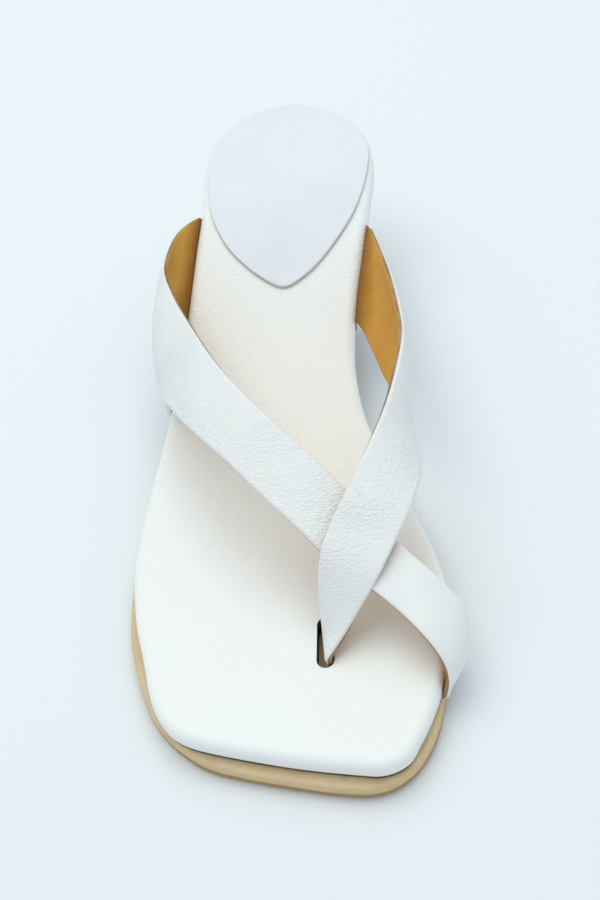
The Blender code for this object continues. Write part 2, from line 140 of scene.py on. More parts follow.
LATERAL_STRAP = (
    ((0.763, -0.420, 0.157), (0.540, -0.456, 0.010), 0.9),
    ((0.697, -0.453, 0.354), (0.531, -0.455, 0.100), 1.7),
    ((0.632, -0.409, 0.562), (0.516, -0.449, 0.220), 1.8),
    ((0.559, -0.331, 0.789), (0.490, -0.431, 0.420), 0.9),
    ((0.486, -0.238, 0.908), (0.437, -0.365, 0.611), 0.5),
    ((0.429, -0.144, 0.951), (0.384, -0.282, 0.757), 0.3),
    ((0.376, -0.044, 0.989), (0.335, -0.177, 0.789), 0.2),
    ((0.337, 0.059, 0.911), (0.286, -0.072, 0.765), 0.1),
    ((0.296, 0.173, 0.773), (0.245, 0.039, 0.673), 0.0),
    ((0.259, 0.273, 0.638), (0.212, 0.133, 0.557), 0.0),
    ((0.227, 0.359, 0.524), (0.188, 0.227, 0.468), 0.1),
    ((0.200, 0.442, 0.416), (0.161, 0.320, 0.378), 0.5),
    ((0.180, 0.512, 0.243), (0.129, 0.398, 0.311), 0.9),
    ((0.172, 0.527, 0.120), (0.108, 0.447, 0.190), 1.1),
    ((0.169, 0.518, -0.010), (0.097, 0.460, 0.050), 1.3),
)
# Where the straps leave the rim of the footbed: rear edge, front edge
MEDIAL_ROOT = (0.778, 0.645)
LATERAL_ROOT = (0.809, 0.539)
TOE_ROOT = (0.169, 0.092)

# The crossing: where the medial strap lies on the lateral one, and how far each gives way there
CROSSING = (0.272, 0.262)
CROSSING_REACH = 0.020
CROSSING_LIFT = 0.00075

# Fineness of the meshes
OUTLINE_STEPS = 12
GRID_CELL = 0.0013
STRAP_CELL = 0.0010
ROUND_STEPS = 6

# Camera: where it stands, the point it looks at, which way is up in the picture, and its lens in mm
CAMERA_PLACE = (0.0356, -0.2425, 0.3380)
CAMERA_AIM = (0.0018, 0.0455, 0.0200)
CAMERA_UP = (0.0623, 0.7660, 0.6398)
CAMERA_LENS = 56.0
SENSOR_HEIGHT = 36.0

# Light and stage: the sky, one large soft box, and the floor
SKY_STRENGTH = 0.70
SKY_COLOUR = (0.93, 0.97, 1.0)
SOFT_BOX_PLACE = (-0.15, 0.30, 1.20)
SOFT_BOX_AIM = (0.0, 0.04, 0.02)
SOFT_BOX_SIZE = (1.3, 1.0)
SOFT_BOX_POWER = 7.3
SOFT_BOX_COLOUR = (1.0, 0.99, 0.90)
FLOOR_SIZE = 8.0
FLOOR_COLOUR = (0.80, 0.865, 0.92)
FLOOR_SHADE = 0.985

# Colours of the finishes, and the darker tone that each is mottled with
CARAMEL, CARAMEL_SHADE = (0.64, 0.345, 0.060), (0.53, 0.260, 0.038)
# Painted shade: the dark brown of the lining near the footbed, standing in for the shadow there
CARAMEL_PAINTED_SHADE = (0.27, 0.105, 0.008)
CUT_EDGE, CUT_EDGE_SHADE = (0.42, 0.28, 0.15), (0.27, 0.155, 0.070)
PAD, PAD_SHADE = (0.750, 0.800, 0.870), (0.725, 0.775, 0.845)
PAD_EDGE, PAD_EDGE_SHADE = (0.62, 0.62, 0.63), (0.53, 0.53, 0.54)
# Painted shadow: near-black walls of the toe-post slot, standing in for the shade down the hole
SLOT_PAINTED_SHADOW, SLOT_PAINTED_SHADOW_DEEP = (0.075, 0.040, 0.015), (0.020, 0.012, 0.006)
# Painted shadow: the dark line along the join of footbed and outsole
SEAM_PAINTED_SHADOW, SEAM_PAINTED_SHADOW_DEEP = (0.17, 0.115, 0.060), (0.080, 0.052, 0.026)
RUBBER, RUBBER_SHADE = (0.72, 0.57, 0.34), (0.62, 0.46, 0.24)
RUBBER_STREAK = (0.70, 0.60, 0.44)
# Darker ochre of the sole's lower side: partly the rubber's own tone, partly painted shade of the side face
# and its contact shadow
RUBBER_LOW_TONE_AND_SHADE = (0.42, 0.245, 0.055)

# The grained leathers: colour, width of a pebble, depth of the grain, roughness, and how much longer the
# pebbles are across the shoe
STRAP_LEATHER = {"colour": (0.825, 0.865, 0.885), "pebble": 0.00095, "depth": 0.00025,
                 "roughness": 0.46, "stretch": 1.7}
BED_LEATHER = {"colour": (0.87, 0.915, 0.925), "pebble": 0.0011, "depth": 0.00012,
               "roughness": 0.52, "stretch": 1.4}
HEEL_LEATHER = {"colour": (0.84, 0.86, 0.86), "pebble": 0.0011, "depth": 0.00012,
                "roughness": 0.48, "stretch": 1.0}
PAD_ROUGHNESS = 0.42

# Grain: how far pebbles wander, as a share of their width, what creases, domes and pores add to the height,
# how dark and how strong the painted shade in a crease is, and the tint of worn patches
PEBBLE_WANDER = 0.8
CREASE_SHARE, DOME_SHARE, PORE_SHARE = 0.45, 0.55, 0.11
CREASE_SHADE, CREASE_STRENGTH = 0.90, 0.55
WORN_TINT = (0.985, 0.975, 0.955)
GRAIN_MATT, GRAIN_SHINE = 0.08, 0.06

# Depths of the other bumps, in metres
PAD_BUMP = 0.00003
EDGE_BUMP = 0.00008
SOLE_BUMP = 0.00018
LINING_BUMP = 0.00004
FLOOR_BUMP = 0.00002

# Where a finish changes along the shoe: from, to, and its value at each
# These three rows place the painted shade on the lining by its height over the footbed
LINING_SLOPE = (0.066, 0.138, 0.0128, 0.0402)
LINING_SHADE_BAND = (0.0008, 0.0052, 0.95, 0.0)
LINING_WAVE = 0.003
TOE_LOOP_CALM = (0.024, 0.042, 1.0, 0.10)
TOE_LOOP_SLANT = 0.8
FOREFOOT_CALM = (-0.01, 0.05, 0.35, 1.0)
# The band at the foot of the sole that takes the darker ochre, partly painted shade
TREAD_BAND = (0.0031, 0.0041, 1.0, 0.0)
TREAD_WAVE = 0.0016


def along(share):
    return (share - REST_SHARE) * LENGTH


def share_along(y):
    return y / LENGTH + REST_SHARE


def eased(table, at, column=1):
    """Smooth value of one column of a table, with no overshoot between its rows."""
    x = [row[0] for row in table]
    v = [row[column] for row in table]
    at = min(max(at, x[0]), x[-1])
    slopes = [(v[i + 1] - v[i]) / (x[i + 1] - x[i]) for i in range(len(x) - 1)]
    i = min(max(int(np.searchsorted(x, at)) - 1, 0), len(x) - 2)

    def tangent(k):
        if k == 0 or k == len(x) - 1:
            return slopes[min(k, len(slopes) - 1)]
        before, after = slopes[k - 1], slopes[k]
        return 0.0 if before * after <= 0.0 else 2.0 * before * after / (before + after)

    step = x[i + 1] - x[i]
    t = (at - x[i]) / step
    return ((1 + 2 * t) * (1 - t) ** 2 * v[i] + t * (1 - t) ** 2 * step * tangent(i)
            + t * t * (3 - 2 * t) * v[i + 1] + t * t * (t - 1) * step * tangent(i + 1))


def bed_top(y):
    share = share_along(y)
    spring = max(0.0, 1.0 - share / SPRING_END) * TOE_SPRING
    return SOLE_THICKNESS + JOIN_GAP + BED_THICKNESS + SEAT_RISE * eased(PROFILE, share) + spring


def bed_bottom(y):
    return bed_top(y) - BED_THICKNESS


def sole_top(y):
    return bed_bottom(y) - JOIN_GAP


def sole_bottom(y):
    thinned = eased(THINNING, share_along(y))
    return sole_top(y) - SOLE_THICKNESS + thinned * (SOLE_THICKNESS - WAIST_THICKNESS)


def catmull(p0, p1, p2, p3, t):
    return 0.5 * (2 * p1 + (p2 - p0) * t + (2 * p0 - 5 * p1 + 4 * p2 - p3) * t ** 2
                  + (3 * p1 - p0 - 3 * p2 + p3) * t ** 3)


def closed_curve(table):
    """Smooth closed plan curve through the rows of a table, OUTLINE_STEPS points to a row."""
    points = [np.array((across * BALL_WIDTH, along(share))) for share, across in table]
    count = len(points)
    curve = []
    for i in range(count):
        near = [points[(i + k) % count] for k in (-1, 0, 1, 2)]
        curve += [catmull(*near, step / OUTLINE_STEPS) for step in range(OUTLINE_STEPS)]
    return curve


def spaced(run, count):
    """count points evenly spaced along an open run of points, without its last one."""
    run = np.array(run)
    reach = np.concatenate([[0.0], np.cumsum(np.linalg.norm(np.diff(run, axis=0), axis=1))])
    at = np.linspace(0.0, reach[-1], count + 1)[:-1]
    return [np.array([np.interp(a, reach, run[:, k]) for k in range(run.shape[1])]) for a in at]


def four_sided(kept, corners, cell):
    """A closed run of points resampled into the four sides that run between its corners."""
    sides = []
    count = len(kept)
    for a, b in zip(corners, corners[1:] + corners[:1]):
        last = b if b > a else b + count
        sides.append([kept[i % count] for i in range(a, last + 1)])
    lengths = [np.linalg.norm(np.diff(np.array(side), axis=0), axis=1).sum() for side in sides]
    across = max(4, int(max(lengths[0], lengths[2]) / cell))
    down = max(4, int(max(lengths[1], lengths[3]) / cell))
    loop = []
    for side, number in zip(sides, (across, down, across, down)):
        loop += spaced(side, number)
    return loop, across, down


def framed_loop(curve, corners, cell):
    """A closed curve resampled as four sides, with its corners given as rows of its table."""
    return four_sided(curve, [corner * OUTLINE_STEPS for corner in corners], cell)


def turning(curve):
    """1 for a curve that runs clockwise seen from above, and -1 for the other way."""
    area = sum(a[0] * b[1] - a[1] * b[0] for a, b in zip(curve, curve[1:] + curve[:1]))
    return 1.0 if area < 0.0 else -1.0


def grown(curve, growth):
    """The curve moved outwards by growth(point), along its own normals."""
    outwards = turning(curve)
    moved = []
    for i, point in enumerate(curve):
        run = curve[(i + 1) % len(curve)] - curve[i - 1]
        normal = np.array((-run[1], run[0])) / np.linalg.norm(run)
        moved.append(point + normal * outwards * growth(point))
    return moved


def coons(loop, across, down):
    """Grid of points that fills a loop made of four sides."""
    first = loop[:across + 1]
    second = loop[across:across + down + 1]
    third = loop[across + down:2 * across + down + 1][::-1]
    fourth = (loop[2 * across + down:] + loop[:1])[::-1]
    grid = []
    for j in range(down + 1):
        v = j / down
        row = []
        for i in range(across + 1):
            u = i / across
            point = ((1 - v) * first[i] + v * third[i] + (1 - u) * fourth[j] + u * second[j]
                     - (1 - u) * (1 - v) * first[0] - u * (1 - v) * first[-1]
                     - (1 - u) * v * third[0] - u * v * third[-1])
            row.append(point)
        grid.append(row)
    return grid


def filled(mesh, rim, across, down, height):
    """Faces that fill a rim of vertices with a grid, at height(x, y)."""
    loop = [np.array(vert.co[:2]) for vert in rim]
    grid = coons(loop, across, down)
    verts = [[None] * (across + 1) for _ in range(down + 1)]
    for i in range(across + 1):
        verts[0][i] = rim[i]
        verts[down][i] = rim[(2 * across + down - i) % len(rim)]
    for j in range(down + 1):
        verts[j][across] = rim[across + j]
        verts[j][0] = rim[(2 * across + 2 * down - j) % len(rim)]
    for j in range(1, down):
        for i in range(1, across):
            x, y = grid[j][i]
            verts[j][i] = mesh.verts.new((x, y, height(x, y)))
    for j in range(down):
        for i in range(across):
            mesh.faces.new((verts[j][i], verts[j][i + 1], verts[j + 1][i + 1], verts[j + 1][i]))


def plate(loop, across, down, top_at, bottom_at, rounding, bulge=0.0):
    """A plate with a plan outline, rounded rims, grids above and below, and a side that swells by bulge."""
    mesh = bmesh.new()
    rings = []
    downwards = range(ROUND_STEPS + 1)
    for steps, height_at, sign in ((downwards, top_at, -1.0), (downwards[::-1], bottom_at, 1.0)):
        for step in steps:
            angle = math.pi / 2 * step / ROUND_STEPS
            inset = rounding * (1.0 - math.sin(angle))
            depth = rounding * (1.0 - math.cos(angle))
            rings.append((inset, depth, height_at, sign))
    made = []
    for number, (inset, depth, height_at, sign) in enumerate(rings):
        swell = bulge * math.sin(math.pi * number / (len(rings) - 1))
        outline = grown(loop, lambda point: swell - inset)
        made.append([mesh.verts.new((x, y, height_at(x, y) + sign * depth)) for x, y in outline])
    for above, below in zip(made, made[1:]):
        for i in range(len(loop)):
            j = (i + 1) % len(loop)
            mesh.faces.new((above[i], below[i], below[j], above[j]))
    filled(mesh, made[0], across, down, top_at)
    filled(mesh, made[-1], across, down, bottom_at)
    bmesh.ops.recalc_face_normals(mesh, faces=mesh.faces[:])
    return mesh


def place(name, mesh, finishes):
    data = bpy.data.meshes.new(name)
    mesh.to_mesh(data)
    mesh.free()
    made = bpy.data.objects.new(name, data)
    bpy.context.scene.collection.objects.link(made)
    for finish in finishes:
        data.materials.append(finish)
    data.shade_smooth()
    return made


def dress(made, slot, *nodes):
    """Puts a finished piece on the one body, in place of its solids, which it hides; its slot is not used.
    """
    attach(made, "root")
    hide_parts(*nodes)
    return made


# Small helpers for the materials
def new_material(name):
    made = bpy.data.materials.new(name)
    made.use_nodes = True
    nodes = made.node_tree.nodes
    shader = nodes["Principled BSDF"]
    where = nodes.new("ShaderNodeTexCoord").outputs["Object"]
    return made, made.node_tree, shader, where


def stretched(tree, where, scale):
    mapping = tree.nodes.new("ShaderNodeMapping")
    mapping.inputs["Scale"].default_value = scale
    tree.links.new(where, mapping.inputs["Vector"])
    return mapping.outputs["Vector"]


def noise(tree, where, scale, detail=3.0, roughness=0.5):
    made = tree.nodes.new("ShaderNodeTexNoise")
    made.inputs["Scale"].default_value = scale
    made.inputs["Detail"].default_value = detail
    made.inputs["Roughness"].default_value = roughness
    tree.links.new(where, made.inputs["Vector"])
    return made.outputs["Fac"]


def cells(tree, where, scale, feature="F1"):
    made = tree.nodes.new("ShaderNodeTexVoronoi")
    made.feature = feature
    made.inputs["Scale"].default_value = scale
    tree.links.new(where, made.inputs["Vector"])
    return made.outputs["Distance"]


def ranged(tree, value, low, high, to_low=0.0, to_high=1.0):
    made = tree.nodes.new("ShaderNodeMapRange")
    made.inputs["From Min"].default_value = low
    made.inputs["From Max"].default_value = high
    made.inputs["To Min"].default_value = to_low
    made.inputs["To Max"].default_value = to_high
    tree.links.new(value, made.inputs["Value"])
    return made.outputs["Result"]


def mixed(tree, share, first, second):
    made = tree.nodes.new("ShaderNodeMix")
    made.data_type = "RGBA"
    tree.links.new(share, made.inputs["Factor"])
    for socket, value in (("A", first), ("B", second)):
        target = [s for s in made.inputs if s.name == socket and s.type == "RGBA"][0]
        if isinstance(value, tuple):
            target.default_value = (*value, 1.0)
        else:
            tree.links.new(value, target)
    return [s for s in made.outputs if s.type == "RGBA"][0]


def maths(tree, operation, first, second):
    made = tree.nodes.new("ShaderNodeMath")
    made.operation = operation
    for socket, value in zip(made.inputs, (first, second)):
        if isinstance(value, float):
            socket.default_value = value
        else:
            tree.links.new(value, socket)
    return made.outputs["Value"]


def added(tree, first, second):
    return maths(tree, "ADD", first, second)


def times(tree, first, second):
    return maths(tree, "MULTIPLY", first, second)


def bumped(tree, shader, height, distance):
    made = tree.nodes.new("ShaderNodeBump")
    made.inputs["Distance"].default_value = distance
    made.inputs["Strength"].default_value = 1.0
    tree.links.new(height, made.inputs["Height"])
    tree.links.new(made.outputs["Normal"], shader.inputs["Normal"])


def finished(tree, shader, colour, roughness, specular):
    """Links a finish's colour and roughness, and sets how much it shines."""
    tree.links.new(colour, shader.inputs["Base Color"])
    tree.links.new(roughness, shader.inputs["Roughness"])
    shader.inputs["Specular IOR Level"].default_value = specular


def axis(tree, where, name):
    split = tree.nodes.new("ShaderNodeSeparateXYZ")
    tree.links.new(where, split.inputs["Vector"])
    return split.outputs[name]


def wandered(tree, where, pebble):
    """Places moved a little to and fro, so that the pebbles don't line up."""
    wander = tree.nodes.new("ShaderNodeTexNoise")
    wander.inputs["Scale"].default_value = 0.45 / pebble
    wander.inputs["Detail"].default_value = 2.0
    tree.links.new(where, wander.inputs["Vector"])
    bent = tree.nodes.new("ShaderNodeVectorMath")
    bent.operation = "MULTIPLY_ADD"
    bent.inputs[1].default_value = (pebble * PEBBLE_WANDER,) * 3
    tree.links.new(wander.outputs["Color"], bent.inputs[0])
    tree.links.new(where, bent.inputs[2])
    return bent.outputs["Vector"]


def grained_leather(name, colour, pebble, depth, roughness, stretch, calm=None):
    """Leather whose grain is a net of soft pebbles, drawn out across the shoe by stretch. Where
    calm(tree, place) falls to 0 the hide is smooth."""
    made, tree, shader, where = new_material(name)
    drawn = stretched(tree, wandered(tree, where, pebble), (1.0 / stretch, 1.0, 1.0))
    creases = ranged(tree, cells(tree, drawn, 1.0 / pebble, "DISTANCE_TO_EDGE"), 0.0, 0.30)
    domes = ranged(tree, cells(tree, drawn, 1.0 / pebble, "SMOOTH_F1"), 0.10, 0.75, 1.0, 0.0)
    pores = noise(tree, where, 3.5 / pebble, 4.0, 0.6)
    patches = ranged(tree, noise(tree, where, 60.0, 2.0), 0.30, 0.62, 0.60, 1.0)
    if calm is not None:
        patches = times(tree, patches, calm(tree, where))
    grain = added(tree, times(tree, creases, CREASE_SHARE), times(tree, domes, DOME_SHARE))
    height = added(tree, times(tree, grain, patches), times(tree, pores, PORE_SHARE))
    bumped(tree, shader, height, depth)
    # Painted shade in the grain's creases, darkening the colour there
    crease_shading = times(tree, ranged(tree, creases, 0.0, 0.7, 1.0, 0.0), patches)
    deeper = tuple(CREASE_SHADE * c for c in colour)
    tone = mixed(tree, times(tree, crease_shading, CREASE_STRENGTH), colour, deeper)
    cloud = ranged(tree, noise(tree, where, 20.0, 3.0), 0.35, 0.70, 0.0, 0.6)
    worn = tuple(share * c for share, c in zip(WORN_TINT, colour))
    sheen = ranged(tree, height, 0.1, 1.0, roughness + GRAIN_MATT, roughness - GRAIN_SHINE)
    finished(tree, shader, mixed(tree, cloud, tone, worn), sheen, 0.42)
    return made


def calm_toe_loop(tree, where):
    """1 over the straps, falling to nearly 0 on the smooth loop round the big toe."""
    slant = times(tree, axis(tree, where, "Y"), TOE_LOOP_SLANT)
    return ranged(tree, maths(tree, "SUBTRACT", axis(tree, where, "X"), slant), *TOE_LOOP_CALM)


def calm_forefoot(tree, where):
    """1 up the arch, falling under the toes where the footbed is smoother."""
    return ranged(tree, axis(tree, where, "Y"), *FOREFOOT_CALM)


def over_bed(tree, where):
    """Height over the footbed, taken as level in the forefoot and as one slope up the arch."""
    slope = ranged(tree, axis(tree, where, "Y"), *LINING_SLOPE)
    return maths(tree, "SUBTRACT", axis(tree, where, "Z"), slope)


def smooth_leather(name, colour, shade, roughness):
    """Close-grained leather with fine pores and faint drawn lines."""
    made, tree, shader, where = new_material(name)
    pores = ranged(tree, cells(tree, where, 2600.0), 0.0, 0.35)
    drawn = noise(tree, stretched(tree, where, (1.0, 0.25, 1.0)), 900.0, 3.0)
    bumped(tree, shader, added(tree, times(tree, pores, 0.5), drawn), PAD_BUMP)
    cloud = ranged(tree, noise(tree, where, 60.0, 4.0), 0.35, 0.68)
    sheen = ranged(tree, drawn, 0.3, 0.7, roughness - 0.05, roughness + 0.06)
    finished(tree, shader, mixed(tree, cloud, colour, shade), sheen, 0.40)
    return made


def raw_edge(name, colour, shade):
    """The cut edge of leather: short fibres and layers. Also serves as painted shadow in the toe-post slot
    and along the footbed's join.
    """
    made, tree, shader, where = new_material(name)
    bumped(tree, shader, noise(tree, where, 1800.0, 4.0, 0.7), EDGE_BUMP)
    stain = ranged(tree, noise(tree, where, 160.0, 3.0), 0.35, 0.65)
    tree.links.new(mixed(tree, stain, colour, shade), shader.inputs["Base Color"])
    shader.inputs["Roughness"].default_value = 0.80
    return made


def sole_rubber(name):
    """Tan rubber: a paler striated shelf, a darker ochre band along the tread that is partly the rubber's
    own tone and partly painted shade, and faint stains.
    """
    made, tree, shader, where = new_material(name)
    striae = noise(tree, stretched(tree, where, (1.0, 1.0, 8.0)), 300.0, 4.0, 0.65)
    bumped(tree, shader, striae, SOLE_BUMP)
    mottle = ranged(tree, noise(tree, where, 80.0, 4.0, 0.6), 0.30, 0.70)
    pale = mixed(tree, mottle, RUBBER, RUBBER_SHADE)
    streaked = mixed(tree, ranged(tree, striae, 0.40, 0.75, 0.0, 0.7), pale, RUBBER_STREAK)
    wave = times(tree, noise(tree, where, 70.0, 3.0), TREAD_WAVE)
    # Darker towards the floor: partly the rubber's own tone, partly painted shade
    low = ranged(tree, added(tree, axis(tree, where, "Z"), wave), *TREAD_BAND)
    sheen = ranged(tree, striae, 0.3, 0.7, 0.50, 0.68)
    finished(tree, shader, mixed(tree, low, streaked, RUBBER_LOW_TONE_AND_SHADE), sheen, 0.35)
    return made


def lining_leather(name):
    """Caramel lining leather with a fine suede tooth, darker in patches, and with painted shade where it
    meets the footbed.
    """
    made, tree, shader, where = new_material(name)
    tooth = noise(tree, where, 2200.0, 3.0, 0.65)
    bumped(tree, shader, tooth, LINING_BUMP)
    cloud = ranged(tree, noise(tree, where, 75.0, 4.0), 0.32, 0.70)
    wave = times(tree, noise(tree, where, 120.0, 3.0), LINING_WAVE)
    # Painted shade, darkest where the lining meets the footbed
    low = ranged(tree, added(tree, over_bed(tree, where), wave), *LINING_SHADE_BAND)
    tone = mixed(tree, low, mixed(tree, cloud, CARAMEL, CARAMEL_SHADE), CARAMEL_PAINTED_SHADE)
    finished(tree, shader, tone, ranged(tree, tooth, 0.3, 0.7, 0.58, 0.74), 0.30)
    return made


# Straps
def rim_across(curve, y, side):
    """Where a plan curve crosses a line across the shoe, on one side of it."""
    found = []
    for a, b in zip(curve, curve[1:] + curve[:1]):
        if (a[1] - y) * (b[1] - y) <= 0.0 and a[1] != b[1]:
            found.append(a[0] + (b[0] - a[0]) * (y - a[1]) / (b[1] - a[1]))
    return max(found) if side > 0 else min(found)


SECTION_COLUMNS = 5


def root_places(root):
    return [along(root[0] + (root[1] - root[0]) * i / SECTION_COLUMNS) for i in range(SECTION_COLUMNS + 1)]


def rim_rows(curve, root, side):
    """Rows that bring a strap out from under the footbed, round the rim's lower edge and up past it."""
    clear = STRAP_THICKNESS / 2 + ROOT_GAP
    corner = STRAP_THICKNESS + 2 * ROOT_GAP
    slant = clear * math.sqrt(0.5)
    path = ((-TUCK_DEPTH, corner - clear), (0.0, corner - clear), (slant, corner - slant), (clear, corner))
    rows = [[] for _ in range(len(path) + 1)]
    for y in root_places(root):
        rim = rim_across(curve, y, side)
        for row, (outwards, level) in zip(rows, path):
            row.append(np.array((rim + side * outwards, y, bed_bottom(y) + level)))
        rows[-1].append(np.array((rim + side * clear, y, bed_top(y) - BED_ROUNDING / 2)))
    return rows


def post_rows():
    """Rows that take the medial strap down through the toe-post slot, top first."""
    rows = []
    for lift in [POST_ABOVE * STRAP_RISE] + [-depth * BED_THICKNESS for depth in POST_DEPTHS]:
        row = []
        for column in range(SECTION_COLUMNS + 1):
            t = column / SECTION_COLUMNS
            y = along(POST_REAR[0] + (POST_FRONT[0] - POST_REAR[0]) * t)
            x = (POST_REAR[1] + (POST_FRONT[1] - POST_REAR[1]) * t) * BALL_WIDTH
            row.append(np.array((x, y, bed_top(y) + lift)))
        rows.append(row)
    return rows


def crowned(table, facing, give):
    """Rows of points from a table of sections, crowned outwards, and lifted by give at the crossing."""
    ends = []
    for rear, front, crown in table:
        pair = []
        for share, across, height in (rear, front):
            y = along(share)
            pair.append(np.array((across * BALL_WIDTH, y, bed_top(y) + height * STRAP_RISE)))
        ends.append((pair[0], pair[1], crown * STRAP_THICKNESS))
    crossing = np.array((CROSSING[1] * BALL_WIDTH, along(CROSSING[0])))
    grid = []
    for i, (rear, front, crown) in enumerate(ends):
        ahead = ends[min(i + 1, len(ends) - 1)]
        back = ends[max(i - 1, 0)]
        run = (ahead[0] + ahead[1] - back[0] - back[1]) / 2
        normal = np.cross(run, rear - front) * facing
        normal = normal / np.linalg.norm(normal)
        row = []
        for column in range(SECTION_COLUMNS + 1):
            t = column / SECTION_COLUMNS
            point = rear + (front - rear) * t
            near = math.exp(-(np.linalg.norm(point[:2] - crossing) / CROSSING_REACH) ** 2)
            row.append(point + normal * (crown * 4 * t * (1 - t) + give * near))
        grid.append(row)
    return grid


def refined(rows, cell):
    """A coarse grid of rows made fine, smooth in both directions, with cells of about cell metres."""
    rows = np.array(rows)
    widths = np.linalg.norm(np.diff(rows, axis=1), axis=2).sum(1)
    columns = int(widths.max() / cell)
    wide = []
    for row in rows:
        padded = np.concatenate([[2 * row[0] - row[1]], row, [2 * row[-1] - row[-2]]])
        fine = []
        for c in range(columns + 1):
            at = c / columns * SECTION_COLUMNS
            k = min(int(at), SECTION_COLUMNS - 1)
            fine.append(catmull(*padded[k:k + 4], at - k))
        wide.append(fine)
    wide = np.array(wide)
    middle = wide[:, columns // 2]
    steps = np.linalg.norm(np.diff(middle, axis=0), axis=1)
    knots = np.concatenate([[0.0], np.cumsum(np.sqrt(steps))])
    out = []
    for i in range(len(wide) - 1):
        count = max(2, int(math.ceil(steps[i] / cell)))
        for s in range(count):
            t = s / count
            out.append(hermite(wide, knots, i, t))
    out.append(wide[-1])
    return np.array(out)


def hermite(rows, knots, i, t):
    """A row between row i and the next, with tangents that allow for uneven spacing."""
    def tangent(k):
        low, high = max(k - 1, 0), min(k + 1, len(rows) - 1)
        return (rows[high] - rows[low]) / (knots[high] - knots[low])

    step = knots[i + 1] - knots[i]
    return ((1 + 2 * t) * (1 - t) ** 2 * rows[i] + t * (1 - t) ** 2 * step * tangent(i)
            + t * t * (3 - 2 * t) * rows[i + 1] + t * t * (t - 1) * step * tangent(i + 1))


def grid_normals(grid):
    run = np.gradient(grid, axis=0)
    wide = np.gradient(grid, axis=1)
    normal = np.cross(run, wide)
    return normal / np.linalg.norm(normal, axis=2)[:, :, None]


# How a strap's section closes at its edges: distance in from the edge in metres, and share of half
# the thickness, on the outer face and then on the inner face
REAR_EDGE = ((0.0, 0.22), (0.00015, 0.68), (0.00045, 0.92), (0.0009, 1.0))
FRONT_EDGE = ((0.0, -0.45), (0.0, 0.30), (0.00015, 0.68), (0.00045, 0.92), (0.0009, 1.0))
INNER_EDGE = ((0.0, -0.78), (0.0002, -1.0))
# The big-toe loop, where the brown cut edge shows along the front too, starts at this value of
# x - TOE_LOOP_SLANT * y
TOE_LOOP_START = 0.030
# How far out from the middle of the shoe the toe post reaches
POST_REACH = 0.015
# Materials of a strap: its outer face, its inner face and its cut edges
OUTER, INNER, CUT = 0, 1, 2


def strap_mesh(grid, outside):
    """A closed strap round a fine grid, with its outer face, inner face and cut edges told apart."""
    normal = grid_normals(grid) * outside
    half = STRAP_THICKNESS / 2
    mesh = bmesh.new()
    loops = []
    for row, up in zip(grid, normal):
        reach = np.concatenate([[0.0], np.cumsum(np.linalg.norm(np.diff(row, axis=0), axis=1))])
        total = reach[-1]
        inner_columns = len(row) - 1
        outer = list(REAR_EDGE)
        first, last = REAR_EDGE[-1][0], total - FRONT_EDGE[-1][0]
        outer += [(first + (last - first) * k / inner_columns, 1.0) for k in range(1, inner_columns)]
        outer += [(total - s, h) for s, h in FRONT_EDGE[::-1]]
        low, high = INNER_EDGE[-1][0], total - INNER_EDGE[-1][0]
        inner = [(total - s, h) for s, h in INNER_EDGE]
        inner += [(high + (low - high) * k / inner_columns, -1.0) for k in range(1, inner_columns)]
        inner += [(s, h) for s, h in INNER_EDGE[::-1]]
        verts = []
        for s, h in outer + inner:
            point = np.array([np.interp(s, reach, row[:, k]) for k in range(3)])
            facing = np.array([np.interp(s, reach, up[:, k]) for k in range(3)])
            verts.append(mesh.verts.new(point + facing * half * h))
        loops.append(verts)
    kinds = [OUTER] * (len(outer) - 1) + [CUT] + [INNER] * (len(inner) - 1) + [CUT]
    front_band = len(outer) - 2
    for a, b in zip(loops, loops[1:]):
        for i, kind in enumerate(kinds):
            j = (i + 1) % len(kinds)
            face = mesh.faces.new((a[i], b[i], b[j], a[j]))
            x, y, z = a[i].co
            on_toe_loop = x - TOE_LOOP_SLANT * y > TOE_LOOP_START
            if i == front_band and on_toe_loop:
                kind = CUT
            if kind == CUT and abs(x) > POST_REACH and z < bed_top(y) and not on_toe_loop:
                kind = OUTER
            face.material_index = kind
    mesh.faces.new(loops[0][::-1])
    mesh.faces.new(loops[-1])
    bmesh.ops.recalc_face_normals(mesh, faces=mesh.faces[:])
    return mesh


def make_straps(plan, finishes):
    medial = rim_rows(plan, MEDIAL_ROOT, 1) + crowned(MEDIAL_STRAP, -1, CROSSING_LIFT) + post_rows()
    lateral = (rim_rows(plan, LATERAL_ROOT, -1) + crowned(LATERAL_STRAP, 1, -CROSSING_LIFT)
               + rim_rows(plan, TOE_ROOT, 1)[-2::-1])
    for name, rows, outside in (("strap_medial", medial, 1.0), ("strap_lateral", lateral, -1.0)):
        grid = refined(rows, STRAP_CELL)
        dress(place(name, strap_mesh(grid, outside), finishes), "strap_leather", "upper")


# Footbed
def slot_outline():
    """Plan of the toe-post slot, a round-ended hole: its points, middle, directions and half length."""
    rear = np.array((SLOT_REAR[1] * BALL_WIDTH, along(SLOT_REAR[0])))
    front = np.array((SLOT_FRONT[1] * BALL_WIDTH, along(SLOT_FRONT[0])))
    run = front - rear
    unit = run / np.linalg.norm(run)
    aside = np.array((unit[1], -unit[0]))
    middle = (rear + front) / 2
    radius = SLOT_WIDTH / 2
    half = np.linalg.norm(run) / 2 - radius
    points = []
    for sign in (1, -1):
        for step in range(SLOT_STEPS + 1):
            angle = math.pi * (step / SLOT_STEPS - 0.5) * sign
            lengthwise = sign * (half + radius * math.cos(angle))
            points.append(middle + (unit * lengthwise + aside * radius * math.sin(angle)))
    return points, middle, unit, aside, half


